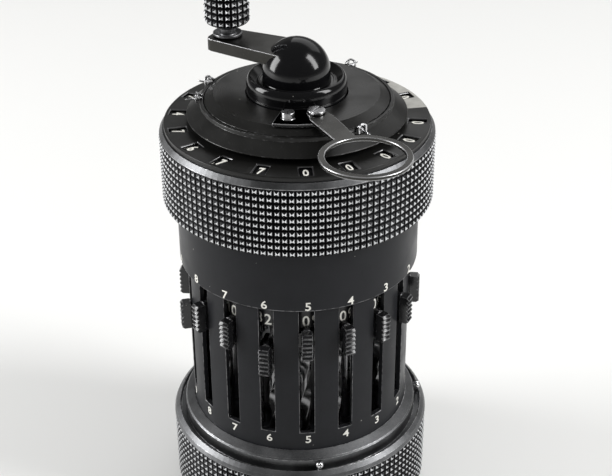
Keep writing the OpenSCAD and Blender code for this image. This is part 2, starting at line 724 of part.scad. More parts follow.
slider(1);  // slider_1
slider(2);  // slider_2
slider(3);  // slider_3
slider(4);  // slider_4
slider(5);  // slider_5
slider(6);  // slider_6
slider(7);  // slider_7
slider(8);  // slider_8
slider(9);  // slider_9
spindle(1);  // spindle_1
spindle(2);  // spindle_2
spindle(3);  // spindle_3
spindle(4);  // spindle_4
spindle(5);  // spindle_5
spindle(6);  // spindle_6
spindle(7);  // spindle_7
spindle(8);  // spindle_8
spindle(9);  // spindle_9
dial(dial_a(1));  // result_dial_1
dial(dial_a(2));  // result_dial_2
dial(dial_a(3));  // result_dial_3
dial(dial_a(4));  // result_dial_4
dial(dial_a(5));  // result_dial_5
dial(dial_a(6));  // result_dial_6
dial(dial_a(7));  // result_dial_7
dial(dial_a(8));  // result_dial_8
dial(dial_a(9));  // result_dial_9
dial(dial_a(10));  // result_dial_10
dial(dial_a(11));  // result_dial_11
dial(counter_dial_a(1));  // counter_dial_1
dial(counter_dial_a(2));  // counter_dial_2
dial(counter_dial_a(3));  // counter_dial_3
dial(counter_dial_a(4));  // counter_dial_4
dial(counter_dial_a(5));  // counter_dial_5
dial(counter_dial_a(6));  // counter_dial_6
reversing_lever();
base_ring();
base_cover();
barrel();
upper_band();
base_marker(1);  // base_marker_1
base_marker(2);  // base_marker_2
carriage_ring();
dial_plate();
top_cone();
top_marker(1);  // top_marker_1
top_marker(2);  // top_marker_2
top_marker(3);  // top_marker_3
top_marker(4);  // top_marker_4
clearing_disc();
lever_plate();
clearing_lever();
crank_collar();
crank_hub();
crank_arm();
handle_grip();
main_shaft();
step_drum();
transmission_shafts();
carriage_guide();
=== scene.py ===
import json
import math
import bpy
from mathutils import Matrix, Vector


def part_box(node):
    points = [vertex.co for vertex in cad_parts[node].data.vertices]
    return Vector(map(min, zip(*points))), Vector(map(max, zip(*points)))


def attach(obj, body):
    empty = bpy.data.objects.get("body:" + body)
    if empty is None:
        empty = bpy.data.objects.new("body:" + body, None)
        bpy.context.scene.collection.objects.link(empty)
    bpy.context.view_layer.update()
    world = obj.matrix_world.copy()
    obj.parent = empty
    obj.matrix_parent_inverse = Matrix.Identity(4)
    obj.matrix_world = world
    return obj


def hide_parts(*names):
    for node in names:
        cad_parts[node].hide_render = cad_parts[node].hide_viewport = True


bl_info = {
    "name": "Cylindrical calculating machine",
    "version": (1, 0, 0),
    "blender": (4, 5, 0),
    "location": "View3D > Sidebar > Calculator",
    "description": "Gives the packed frame of a hand-held stepped-drum calculator its finish",
    "category": "Object",
}

import bmesh
import bpy
from mathutils import Matrix, Vector

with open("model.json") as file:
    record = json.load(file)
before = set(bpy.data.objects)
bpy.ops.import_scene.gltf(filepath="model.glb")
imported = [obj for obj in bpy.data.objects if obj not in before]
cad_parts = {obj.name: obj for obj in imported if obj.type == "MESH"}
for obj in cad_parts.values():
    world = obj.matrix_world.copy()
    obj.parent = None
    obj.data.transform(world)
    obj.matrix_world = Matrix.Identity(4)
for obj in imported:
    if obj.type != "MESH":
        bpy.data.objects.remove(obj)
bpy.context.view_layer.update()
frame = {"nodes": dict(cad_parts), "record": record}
MM = 0.001

# Angles round the main shaft, in degrees from the front (-Y) towards +X
STEP_ANGLE = 20
FIRST_ANGLE = 70
COUNTER_ANGLE = 100
# The sliders, and what they and the dials are set to
SLIDERS = range(1, 10)
SLIDER_SETTINGS = (0, 0, 0, 0, 0, 2, 0, 0, 2)
RESULT_FIGURES = (0, 0, 0, 0, 0, 7, 7, 6, 7, 4, 7)
COUNTER_FIGURES = (0, 0, 0, 0, 0, 0)
# The white sector of the dial plate, which spans the back
WHITE_FROM = 85
WHITE_TO = 215
# Decimal markers on the rail and in the base's groove
RAIL_MARKERS = (24.5, -102.7, -127.5, 131)
BASE_MARKERS = (-4.9, 79.6)
# The slots' figures: degrees to the right of their slots, and heights in mm
FIGURE_SHIFT = 0.5
BAND_FIGURES_Z = 57.2
BARREL_FIGURES_Z = 24.9
# Figures round a number drum or a dial
DIGITS = 10
DIGIT_ANGLE = 36
# Setting screws, in mm: foot and lead of the twisted flat, the number drum, the axle's end above
# it, and the drum's figures, with their middle over its foot
SCREW_FOOT = 21.55
SCREW_LEAD = 20
DRUM_HEIGHT = 6.7
DRUM_UNDER_TOP = 2.55
DRUM_FIGURE_HEIGHT = 2.4
DRUM_FIGURES_Z = 1.5
# Radius of the dials' figures round the main shaft, in mm
DIAL_FIGURES_R = 22.95
PLATE_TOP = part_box("top_cone")[0].z
# The dotted ring on the clearing disc: its radius and half width in mm, and its dots
DOTS_R = 15.3
DOTS_HALF_WIDTH = 0.09
DOTS = 90
# Painted shade on a knurl's upper and lower faces: how far they take the groove's dark colour
FACET_SHADE = 0.97
# Facets of a turned piece
TURNED_STEPS = 192
# Radii of the ring of windows in the dial plate, in mm
WINDOWS_FROM = 20.5
WINDOWS_TO = 25.1
DUST_COLOUR = (0.42, 0.41, 0.38)
# Roughness of metal that wear has laid bare
BARE_ROUGHNESS = 0.3


def polar(r, angle, z=0.0):
    """A point at a radius and an angle round the main shaft."""
    a = math.radians(angle)
    return Vector((r * math.sin(a), -r * math.cos(a), z))


def slider_angle(n):
    return FIRST_ANGLE - STEP_ANGLE * (n - 1)


def dial_angle(name):
    kind, k = name.split("_dial_")
    if kind == "result":
        return slider_angle(int(k))
    return COUNTER_ANGLE + STEP_ANGLE * (int(k) - 1)


def integer(label, words, value):
    """A whole number as a property, with a name, a description and its default."""
    return bpy.props.IntProperty(name=label, description=words, default=value)


def length(label, words, value):
    """A length as a property, with its default in millimetres."""
    return bpy.props.FloatProperty(
        name=label, description=words, default=value * MM, subtype="DISTANCE"
    )


def colour(label, words, value):
    """A colour property with a name, a description and its default."""
    return bpy.props.FloatVectorProperty(
        name=label, description=words, size=3, subtype="COLOR", min=0, max=1, default=value
    )


class CalculatorSizes(bpy.types.PropertyGroup):
    """Sizes of the fine forms that the frame leaves out, in metres"""

    ring_columns: integer("Ring knurl columns", "Pyramids round the carriage ring", 124)
    ring_rows: integer("Ring knurl rows", "Rows of pyramids on the carriage ring", 10)
    base_columns: integer("Base knurl columns", "Pyramids round the base", 122)
    base_rows: integer("Base knurl rows", "Rows of pyramids on the base", 11)
    grip_columns: integer("Grip knurl columns", "Pyramids round the handle's grip", 20)
    grip_rows: integer("Grip knurl rows", "Rows of pyramids on the handle's grip", 11)
    edge: length("Edge", "Width of the softened edges", 0.10)
    figure_height: length("Figure height", "Height of the figures on band and barrel", 1.75)
    dial_figure_height: length("Dial figure height", "Height of the figures on the dials", 2.35)


class CalculatorColours(bpy.types.PropertyGroup):
    """Colours of the finishes, as linear light"""

    paint: colour("Grey paint", "Paint of the barrel and the upper band", (0.014, 0.0145, 0.0165))
    metal: colour("Grey metal", "Knurled ring, base and grip", (0.70, 0.71, 0.73))
    black: colour("Black lacquer", "Dial plate, cone and disc", (0.008, 0.0079, 0.0074))
    gloss: colour("Polished black", "Dome and collar", (0.004, 0.004, 0.0045))
    knob: colour("Knob black", "Sliders' knobs", (0.009, 0.009, 0.010))
    arm: colour("Dark steel", "Crank arm", (0.042, 0.041, 0.038))
    lever: colour("Lever steel", "Clearing lever and its loop", (0.05, 0.049, 0.046))
    steel: colour("Bare steel", "Spindles, shafts and worn edges", (0.46, 0.46, 0.47))
    chrome: colour("Chrome", "Markers, screw and stop", (0.60, 0.60, 0.61))
    white: colour("White paint", "Figures and the counter's sector", (0.72, 0.71, 0.66))
    drum: colour("Drum black", "Number dials and drums", (0.008, 0.008, 0.009))
    floor: colour("Floor", "Floor and backdrop", (0.80, 0.80, 0.79))


def sizes():
    return bpy.context.scene.calculator_sizes


def colours():
    return bpy.context.scene.calculator_colours


# Shader nodes


def add(tree, kind, inputs=None, **settings):
    """A node of a tree, with its settings made and its inputs set or joined."""
    node = tree.nodes.new("ShaderNode" + kind)
    for key, value in settings.items():
        setattr(node, key, value)
    for key, value in (inputs or {}).items():
        if isinstance(value, bpy.types.NodeSocket):
            tree.links.new(value, node.inputs[key])
        else:
            node.inputs[key].default_value = value
    return node


def calc(tree, operation, a, b=0.0, clamp=False):
    """The result of one sum on two values."""
    return add(tree, "Math", {0: a, 1: b}, operation=operation, use_clamp=clamp).outputs[0]


def ramp(tree, value, low, high, to_low=0.0, to_high=1.0):
    """A value led smoothly from one range to another."""
    inputs = {"Value": value, "From Min": low, "From Max": high}
    inputs.update({"To Min": to_low, "To Max": to_high})
    return add(tree, "MapRange", inputs, interpolation_type="SMOOTHSTEP").outputs["Result"]


def times(tree, a, b):
    return calc(tree, "MULTIPLY", a, b)


def mix(tree, factor, a, b):
    """Two colours mixed by a factor."""
    a, b = (v if isinstance(v, bpy.types.NodeSocket) else (*v[:3], 1) for v in (a, b))
    return add(tree, "Mix", {0: factor, 6: a, 7: b}, data_type="RGBA").outputs[2]


def group(name, scale, fill, outputs=("Mask",), **more):
    """A shader node group, made once: fill(tree, inputs) gives its outputs by name."""
    tree = bpy.data.node_groups.get(name)
    if tree:
        return tree
    tree = bpy.data.node_groups.new(name, "ShaderNodeTree")
    tree.interface.new_socket("Vector", in_out="INPUT", socket_type="NodeSocketVector")
    for label, value in {**more, "Scale": scale}.items():
        socket = tree.interface.new_socket(label, in_out="INPUT", socket_type="NodeSocketFloat")
        socket.default_value = value
    for label in outputs:
        tree.interface.new_socket(label, in_out="OUTPUT", socket_type="NodeSocketFloat")
    start = tree.nodes.new("NodeGroupInput")
    end = tree.nodes.new("NodeGroupOutput")
    for label, value in fill(tree, start.outputs).items():
        tree.links.new(value, end.inputs[label])
    return tree


def use(tree, made, inputs):
    """A group placed in a material; gives its outputs."""
    return add(tree, "Group", inputs, node_tree=made).outputs


def mark(tree, name):
    """What the mesh says at each point in its layer of that name."""
    return add(tree, "Attribute", attribute_name=name, attribute_type="GEOMETRY").outputs["Fac"]


def from_axis(tree, coords):
    """The distance from the main shaft's axis."""
    flat = add(tree, "VectorMath", {0: coords, 1: (1, 1, 0)}, operation="MULTIPLY").outputs[0]
    return add(tree, "VectorMath", {0: flat}, operation="LENGTH").outputs["Value"]


def noise(tree, vector, scale, detail=2.0, roughness=0.5):
    """Noise between 0 and 1 at a number of features to the metre."""
    inputs = {"Vector": vector, "Scale": scale, "Detail": detail, "Roughness": roughness}
    return add(tree, "TexNoise", inputs).outputs["Fac"]


def grain_group():
    """Fine grain of paint or cast metal."""

    def fill(tree, given):
        fine = noise(tree, given["Vector"], given["Scale"], 4.0, 0.6)
        broad = noise(tree, given["Vector"], times(tree, given["Scale"], 0.06), 3.0)
        value = calc(tree, "ADD", times(tree, fine, 0.5), times(tree, broad, 0.5))
        return {"Value": ramp(tree, value, 0.3, 0.7), "Height": fine}

    return group("Fine grain", 4000.0, fill, ("Value", "Height"))


def smudge_group():
    """Broad soft patches where hands have changed the gloss."""

    def fill(tree, given):
        patch = noise(tree, given["Vector"], given["Scale"], 3.0, 0.55)
        return {"Mask": ramp(tree, patch, 0.38, 0.66)}

    return group("Smudges", 120.0, fill)


def specks_group():
    """Scattered specks of dust."""

    def fill(tree, given):
        cells = add(tree, "TexVoronoi", {"Vector": given["Vector"], "Scale": given["Scale"]})
        chosen = add(tree, "SeparateColor", {"Color": cells.outputs["Color"]})
        size = times(tree, chosen.outputs[0], 0.16)
        dot = calc(tree, "LESS_THAN", cells.outputs["Distance"], size)
        kept = calc(tree, "LESS_THAN", chosen.outputs[1], given["Density"])
        return {"Mask": times(tree, dot, kept)}

    return group("Specks", 900.0, fill, Density=0.1)


def wear_group():
    """Bare metal along the edges, broken up by noise."""

    def fill(tree, given):
        rough = noise(tree, given["Vector"], given["Scale"], 6.0, 0.7)
        worn = calc(tree, "ADD", times(tree, given["Edge"], given["Amount"]), rough)
        return {"Mask": ramp(tree, worn, 0.82, 1.02)}

    return group("Edge wear", 900.0, fill, Edge=0.0, Amount=0.5)


def turning_group():
    """Fine rings left by the lathe, round the main shaft."""

    def fill(tree, given):
        r = from_axis(tree, given["Vector"])
        z = add(tree, "SeparateXYZ", {"Vector": given["Vector"]}).outputs["Z"]
        rings = add(tree, "CombineXYZ", {"X": r, "Y": z}).outputs[0]
        return {"Value": noise(tree, rings, given["Scale"], 3.0, 0.7)}

    return group("Turning marks", 5000.0, fill, ("Value",))


def scratch_group():
    """Sparse hairline scratches, long along one way of the surface."""

    def fill(tree, given):
        found = None
        for turn, share in ((0.4, 1.0), (1.9, 0.8)):
            inputs = {"Rotation": (0.3, 0.2, turn), "Scale": (1.0, 0.04, 0.3)}
            turned = add(tree, "Mapping", {"Vector": given["Vector"], **inputs}).outputs[0]
            line = noise(tree, turned, given["Scale"], 1.0)
            hair = ramp(tree, line, 0.70, 0.74, 0.0, share)
            found = hair if found is None else calc(tree, "MAXIMUM", found, hair)
        return {"Mask": found}

    return group("Scratches", 6000.0, fill)


# Finishes


def finish(
    name, base, rough, metal=0.0, spread=0.12, tone=0.12, bump=0.0, bare=None, wear=0.5, dust=0.0,
    turned=0.0, scratched=0.0, groove=None, specular=0.5, paint=None,
):
    """A material from the shared effects, made once.

    base and bare are colours, and groove is the colour of painted shade in a knurl's grooves and on
    its upper and lower faces; spread and tone are how far roughness and colour vary; wear, dust,
    turned and scratched are amounts, and paint(tree, coords, colour) may paint over the base
    colour."""
    made = bpy.data.materials.get(name)
    if made:
        return made
    made = bpy.data.materials.new(name)
    made.use_nodes = True
    tree = made.node_tree
    tree.nodes.clear()
    coords = add(tree, "TexCoord").outputs["Object"]

    fine = use(tree, grain_group(), {"Vector": coords})
    dark = [c * (1 - tone) for c in base]
    light = [min(1, c * (1 + tone)) for c in base]
    shade = mix(tree, fine["Value"], dark, light)
    if paint:
        shade = paint(tree, coords, shade)
    smudge = use(tree, smudge_group(), {"Vector": coords})["Mask"]
    roughness = calc(tree, "ADD", rough - spread / 2, times(tree, smudge, spread))
    height = times(tree, fine["Height"], bump)
    metallic = metal
    if turned:
        rings = use(tree, turning_group(), {"Vector": coords})["Value"]
        height = calc(tree, "ADD", height, times(tree, rings, turned))
        roughness = calc(tree, "ADD", roughness, times(tree, rings, 0.08))
    if scratched:
        hair = times(tree, use(tree, scratch_group(), {"Vector": coords})["Mask"], scratched)
        shade = mix(tree, hair, shade, [min(1, c * 1.6 + 0.03) for c in base])
        height = calc(tree, "SUBTRACT", height, times(tree, hair, 0.5))
    # Painted shade: the knurl's grooves and its marked faces are darkened towards the groove colour
    if groove:
        painted_shade = calc(tree, "ADD", mark(tree, "hollow"), times(tree, fine["Value"], 0.2))
        painted_shade = ramp(tree, painted_shade, 0.42, 0.82)
        painted_shade = calc(tree, "MAXIMUM", painted_shade, mark(tree, "shaded_facet"))
        shade = mix(tree, painted_shade, shade, groove)
        roughness = calc(tree, "ADD", roughness, times(tree, painted_shade, 0.3))
    if bare:
        inputs = {"Vector": coords, "Edge": mark(tree, "worn"), "Amount": wear}
        mask = use(tree, wear_group(), inputs)["Mask"]
        shade = mix(tree, mask, shade, bare)
        metallic = calc(tree, "MAXIMUM", times(tree, mask, 0.9), metal)
        worn_rough = times(tree, mask, rough - BARE_ROUGHNESS)
        roughness = calc(tree, "SUBTRACT", roughness, worn_rough)
    if dust:
        specks = use(tree, specks_group(), {"Vector": coords, "Density": dust})["Mask"]
        shade = mix(tree, times(tree, specks, 0.55), shade, DUST_COLOUR)
    inputs = {"Base Color": shade, "Roughness": calc(tree, "MAXIMUM", roughness, 0.04, True)}
    inputs.update({"Metallic": metallic, "Specular IOR Level": specular})
    if bump or turned or scratched:
        bumped = add(tree, "Bump", {"Height": height, "Distance": 0.02 * MM, "Strength": 0.6})
        inputs["Normal"] = bumped.outputs[0]
    shader = add(tree, "BsdfPrincipled", inputs)
    add(tree, "OutputMaterial", {"Surface": shader.outputs[0]})
    return made


def sector_paint(tree, coords, shade):
    """White paint on the counter's sector of the dial plate."""
    white = [v * 0.6 for v in colours().white]
    x, y, z = add(tree, "SeparateXYZ", {"Vector": coords}).outputs
    turn = calc(tree, "ARCTAN2", x, times(tree, y, -1.0))
    right = calc(tree, "GREATER_THAN", turn, math.radians(WHITE_FROM))
    left = calc(tree, "LESS_THAN", turn, math.radians(WHITE_TO - 360))
    upper = calc(tree, "GREATER_THAN", z, PLATE_TOP - 0.05 * MM)
    inside = times(tree, calc(tree, "MAXIMUM", left, right), upper)
    aged = noise(tree, coords, 700.0, 4.0)
    yellowed = mix(tree, ramp(tree, aged, 0.35, 0.75), white, [c * 0.82 for c in white])
    return mix(tree, inside, shade, yellowed)


def dotted_line(tree, coords, shade):
    """A fine ring of dark dots near the edge of the clearing disc's flat."""
    away = calc(tree, "SUBTRACT", from_axis(tree, coords), DOTS_R * MM)
    away = calc(tree, "ABSOLUTE", away)
    x, y, _ = add(tree, "SeparateXYZ", {"Vector": coords}).outputs
    wave = calc(tree, "SINE", times(tree, calc(tree, "ARCTAN2", x, y), DOTS))
    line = calc(tree, "LESS_THAN", away, DOTS_HALF_WIDTH * MM)
    dots = times(tree, line, ramp(tree, wave, -0.4, 0.2))
    return mix(tree, dots, shade, [c * 0.15 for c in colours().black])


def finishes():
    """Every finish by the record's slot name, and the figures' white."""
    c = colours()
    steel, chrome = tuple(c.steel), tuple(c.chrome)
    dim = tuple(v * 0.45 for v in steel)
    return {
        "grey_paint": finish(
            "Grey paint", c.paint, 0.36, bump=0.35, bare=dim, wear=0.45, dust=0.05, specular=0.12
        ),
        # Painted shade: groove is the near-black painted into the knurl's grooves and on its
        # pyramids' upper and lower faces
        "knurled_metal": finish(
            "Grey knurled metal", c.metal, 0.24, metal=1.0, tone=0.15, bump=0.25,
            bare=chrome, wear=0.45, groove=(0.006, 0.006, 0.0065), dust=0.02,
        ),
        "smooth_metal": finish(
            "Grey smooth metal", [v * 0.2 for v in c.metal], 0.42, metal=1.0, tone=0.25, bump=0.45,
            bare=steel, wear=0.42, turned=0.2, dust=0.03,
        ),
        "black_satin": finish(
            "Black lacquer", c.black, 0.32, bump=0.15, bare=dim, wear=0.32, turned=0.25, dust=0.06,
            scratched=0.35, specular=0.35,
        ),
        "disc": finish(
            "Black lacquer of the disc", c.black, 0.30, bump=0.15, bare=dim, wear=0.32, turned=0.25,
            dust=0.06, scratched=0.35, paint=dotted_line, specular=0.4,
        ),
        "dial_plate": finish(
            "Black lacquer of the dial plate", c.black, 0.34, bump=0.2, bare=dim, wear=0.7,
            turned=0.2, dust=0.08, paint=sector_paint, specular=0.35,
        ),
        "black_gloss": finish(
            "Polished black", c.gloss, 0.14, spread=0.06, scratched=0.12, dust=0.02, specular=0.35
        ),
        "lever_plate": finish(
            "Black of the lever's plate", c.gloss, 0.22, spread=0.06, bare=chrome, wear=0.9,
            specular=0.4,
        ),
        # Painted shade: the screws' steel is halved in brightness for the shade inside the barrel's
        # slots
        "screw": finish(
            "Steel of the screws darkened as painted shade", [v * 0.5 for v in steel], 0.30, metal=1.0, bump=0.15,
            tone=0.2,
        ),
        "knob_black": finish("Knob black", c.knob, 0.20, bump=0.3, bare=dim, wear=0.42, dust=0.05),
        "arm": finish(
            "Dark steel of the crank arm", c.arm, 0.36, metal=1.0, bump=0.15, tone=0.12, bare=steel,
            wear=0.75, scratched=0.3, dust=0.03,
        ),
        "steel": finish("Bare steel", steel, 0.30, metal=1.0, bump=0.15, tone=0.18, scratched=0.5),
        "lever_steel": finish(
            "Satin steel of the lever", c.lever, 0.24, metal=1.0, bump=0.1, tone=0.1, bare=chrome,
            wear=0.9, scratched=0.3,
        ),
        "chrome": finish("Chrome", chrome, 0.24, metal=1.0, spread=0.06, scratched=0.1),
        "dial_black": finish("Dial black", c.drum, 0.45, bump=0.2),
        "drum_metal": finish(
            "Drum metal", [v * 0.8 for v in steel], 0.4, metal=1.0, bump=0.2, turned=0.3
        ),
        "figures": finish("Figures' white", c.white, 0.55, tone=0.08, bump=0.2),
        # Painted light: the drums' and dials' figures take the figures' white made brighter,
        # against the shade in which they lie
        "drum_figures": finish(
            "Drum white brightened as painted light", [min(1, v * 1.25) for v in c.white], 0.5, tone=0.05,
            bump=0.2,
        ),
    }


# Meshes

BODY_OF = {n: body for body, nodes in frame["record"]["behaviour"]["bodies"].items() for n in nodes}
SLOT_OF = {part["node"]: part["material_slot"] for part in frame["record"]["subparts"]}


def place_object(name, data):
    """An object of the scene around its data."""
    made = bpy.data.objects.new(name, data)
    bpy.context.scene.collection.objects.link(made)
    return made


def make_object(name, bm, materials):
    """An object from mesh code, with its materials."""
    mesh = bpy.data.meshes.new(name)
    bm.to_mesh(mesh)
    bm.free()
    for material in materials:
        mesh.materials.append(material)
    return place_object(name, mesh)


def settle(made, node, replaced=()):
    """A piece rides on its node's body; it may stand for nodes, which it hides."""
    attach(made, BODY_OF[node])
    if replaced:
        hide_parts(*replaced)
    return made


def even_shading(made):
    """Shades by the large faces, so that narrow edges don't bend the light on wide ones."""
    made.data.shade_smooth()
    weighted = made.modifiers.new("Even shading", "WEIGHTED_NORMAL")
    weighted.keep_sharp = True
    weighted.weight = 100


def face_outwards(bm):
    bmesh.ops.recalc_face_normals(bm, faces=bm.faces)


def numbers(items, name):
    """The layer of numbers that faces or vertices keep under a name."""
    return items.layers.float.get(name) or items.layers.float.new(name)


def soften(bm, width, angle=30.0, segments=2, pick=None):
    """Rounds the sharp edges, or those that pick chooses, and marks the new faces as worn."""
    layer = numbers(bm.faces, "worn")
    sharp = [e for e in bm.edges if e.is_manifold and e.calc_face_angle(0) > math.radians(angle)]
    if pick:
        sharp = [e for e in sharp if pick(e)]
    way = {"segments": segments, "profile": 0.5, "affect": "EDGES", "loop_slide": True}
    result = bmesh.ops.bevel(bm, geom=sharp, offset=width, **way)
    for face in result["faces"]:
        face[layer] = 1.0


def dress(node, width=None, finish_name=None, slot=None, name=None, keep=None, chamfer=None):
    """A CAD node with its facets joined, its edges rounded and its finish on.

    keep(height) in millimetres picks the vertices of a piece of the node, and chamfer is a
    width and a test that picks edges for a wide flat chamfer."""
    bm = bmesh.new()
    bm.from_mesh(frame["nodes"][node].data)
    bmesh.ops.remove_doubles(bm, verts=bm.verts, dist=0.002 * MM)
    if keep:
        others = [v for v in bm.verts if not keep(v.co.z / MM)]
        bmesh.ops.delete(bm, geom=others, context="VERTS")
        rims = [e for e in bm.edges if e.is_boundary]
        bmesh.ops.holes_fill(bm, edges=rims, sides=0)
        face_outwards(bm)
    bmesh.ops.dissolve_limit(bm, angle_limit=math.radians(0.4), verts=bm.verts, edges=bm.edges)
    if chamfer:
        soften(bm, chamfer[0] * MM, 30.0, 1, chamfer[1])
    soften(bm, sizes().edge if width is None else width * MM, 50.0 if chamfer else 30.0)
    slot = slot or SLOT_OF[node]
    made = make_object(name or node + "_finished", bm, [finishes()[finish_name or slot]])
    even_shading(made)
    return settle(made, node, (node,))


def rounded(profile, radius, steps=3, closed=True):
    """A profile of (r, z) points with its corners rounded, as ((r, z), on corner)."""
    made = []
    count = len(profile)
    for i, corner in enumerate(profile):
        here = Vector(corner)
        ends = not closed and i in (0, count - 1)
        before, after = Vector(profile[i - 1]), Vector(profile[(i + 1) % count])
        a, b = before - here, after - here
        turn = 0 if ends else math.pi - a.angle(b)
        if turn < math.radians(14) or radius == 0 or here.x < 1e-6:
            made.append((here, False))
            continue
        cut = min(radius * math.tan(turn / 2), 0.45 * min(a.length, b.length))
        p0, p2 = here + a.normalized() * cut, here + b.normalized() * cut
        for s in range(steps + 1):
            t = s / steps
            made.append((p0.lerp(here, t).lerp(here.lerp(p2, t), t), s < steps))
    return made


def bridge(bm, low, high, steps):
    """The faces between two rings, either of which may be a single point."""
    made = []
    for i in range(steps):
        j = (i + 1) % steps
        corners = [low[i % len(low)], low[j % len(low)], high[j % len(high)], high[i % len(high)]]
        corners = list(dict.fromkeys(corners))
        if len(corners) > 2:
            made.append(bm.faces.new(corners))
    return made


def ellipse(u, v, wide, tall, turns):
    """Points of an ellipse round a centre, at given turns in degrees."""
    turns = [math.radians(turn) for turn in turns]
    return [(u + wide * math.cos(a), v + tall * math.sin(a)) for a in turns]


def revolve(bm, profile, steps, offset=(0.0, 0.0), closed=True):
    """Turns a rounded profile in millimetres round a vertical axis."""
    layer = numbers(bm.faces, "worn")
    centre = Vector((*offset, 0))
    rings = []
    for (r, z), _ in profile:
        points = [polar(r, 360 * i / steps, z) for i in range(steps if r > 1e-6 else 1)]
        rings.append([bm.verts.new((centre + point) * MM) for point in points])
    pairs = len(rings) if closed else len(rings) - 1
    for k in range(pairs):
        for face in bridge(bm, rings[k], rings[(k + 1) % len(rings)], steps):
            face[layer] = 1.0 if profile[k][1] else 0.0


def knurl(bm, r, depth, z, height, columns, rows, land, offset=(0.0, 0.0)):
    """Rows of blunt four-sided pyramids between crossed grooves, in millimetres.

    land is the share of a pyramid's width that stays flat on top.
    Their upper and lower faces and the valleys between them are marked for painted shade, which
    darkens them against their sides."""
    shaded_facet, hollow = numbers(bm.faces, "shaded_facet"), numbers(bm.verts, "hollow")
    worn = numbers(bm.faces, "worn")
    # What the knurl joins on to counts as its valley, and takes the full painted groove shade
    for vert_there in bm.verts:
        vert_there[hollow] = 1.0
    centre = Vector((*offset, 0))
    step, pitch = 360 / columns, height / rows

    def vert(radius, column, row, depth_there):
        made = bm.verts.new((centre + polar(radius, column * step, z + row * pitch)) * MM)
        made[hollow] = depth_there
        return made

    corners = [[vert(r - depth, i, j, 1.0) for i in range(columns)] for j in range(rows + 1)]
    near, far = (1 - land) / 2, (1 + land) / 2
    tops = ((near, near), (far, near), (far, far), (near, far))
    for j in range(rows):
        for i in range(columns):
            n = (i + 1) % columns
            low = [corners[j][i], corners[j][n], corners[j + 1][n], corners[j + 1][i]]
            high = [vert(r, i + u, j + v, 0.0) for u, v in tops]
            # Painted shade: the pyramids' upper and lower faces are marked to take the dark groove
            # colour
            for side, face in enumerate(bridge(bm, low, high, 4)):
                face[shaded_facet] = FACET_SHADE if side in (0, 2) else 0.0
            bm.faces.new(high)[worn] = 1.0


def second_finish(bm, start=0):
    """Gives the faces made so far, from a number on, the second finish of a piece."""
    bm.faces.ensure_lookup_table()
    for face in bm.faces[start:]:
        face.material_index = 1


# Figures

OUTLINES = {}


def outline(text, weight=0.012):
    """Flat faces of a figure, one unit high and centred, from the built-in font."""
    if text not in OUTLINES:
        curve = bpy.data.curves.new("figure", "FONT")
        curve.body = text
        curve.align_x, curve.align_y = "CENTER", "CENTER"
        curve.resolution_u = 3
        curve.offset = weight
        holder = place_object("figure", curve)
        bpy.context.view_layer.update()
        depsgraph = bpy.context.evaluated_depsgraph_get()
        mesh = bpy.data.meshes.new_from_object(holder.evaluated_get(depsgraph))
        xs = [v.co.x for v in mesh.vertices]
        ys = [v.co.y for v in mesh.vertices]
        middle = Vector(((min(xs) + max(xs)) / 2, (min(ys) + max(ys)) / 2, 0))
        tall = max(ys) - min(ys)
        points = [(v.co - middle) / tall for v in mesh.vertices]
        faces = [tuple(p.vertices) for p in mesh.polygons]
        OUTLINES[text] = (points, faces)
        bpy.data.objects.remove(holder)
        bpy.data.curves.remove(curve)
        bpy.data.meshes.remove(mesh)
    return OUTLINES[text]


def strips(points, faces, step=0.1):
    """Cuts a flat figure along upright lines, so that it bends with the drum it lies on."""
    flat = bmesh.new()
    corners = [flat.verts.new((p.x, p.y, 0)) for p in points]
    for face in faces:
        flat.faces.new([corners[i] for i in face])
    for k in range(-5, 6):
        plane = {"plane_co": (k * step, 0, 0), "plane_no": (1, 0, 0)}
        whole = flat.verts[:] + flat.edges[:] + flat.faces[:]
        bmesh.ops.bisect_plane(flat, geom=whole, dist=1e-5, **plane)
    flat.verts.index_update()
    cut = [v.co.copy() for v in flat.verts], [[v.index for v in face.verts] for face in flat.faces]
    flat.free()
    return cut


def write_figure(bm, text, place, height, width=1.0, thick=0.05, sink=0.02):
    """Adds a figure as a thin solid; place(x, y, up) gives each point's place in metres."""
    points, faces = strips(*outline(text))
    flat = [(p.x * height * width, p.y * height) for p in points]
    low, high = (
        [bm.verts.new(place(x, y, up * MM)) for x, y in flat] for up in (-sink, thick - sink)
    )
    for face in faces:
        bm.faces.new([high[i] for i in face])
        bm.faces.new([low[i] for i in reversed(face)])
    directed = {pair for face in faces for pair in zip(face, face[1:] + face[:1])}
    for a, b in sorted(directed):
        if (b, a) not in directed:
            bm.faces.new([high[a], low[a], low[b], high[b]])


def on_drum(r, angle, z):
    """Places a figure upright on a cylinder round the main shaft, in millimetres."""

    def place(x, y, up):
        return polar(r * MM + up, angle + math.degrees(x / (r * MM)), z * MM + y)

    return place


# Pieces


def close_up(bm):
    """Joins what meets, and turns all faces outwards."""
    bmesh.ops.remove_doubles(bm, verts=bm.verts, dist=0.001 * MM)
    face_outwards(bm)


def turned_piece(node, profile, radius, finish_name=None):
    """A turned piece from its closed profile in millimetres, in the place of its node."""
    bm = bmesh.new()
    revolve(bm, rounded(profile, radius), TURNED_STEPS)
    close_up(bm)
    stand_in(bm, node, "_turned", finish_name or SLOT_OF[node])


def stand_in(bm, node, ending, *names, even=True):
    """A piece in the place of its node, with its finishes."""
    made = make_object(node + ending, bm, [finishes()[name] for name in names])
    if even:
        even_shading(made)
    settle(made, node, (node,))


def knurled_piece(bm, node):
    """A knurled piece in the place of its node; its second finish is for its smooth faces."""
    close_up(bm)
    stand_in(bm, node, "_knurled", "knurled_metal", "smooth_metal", even=False)


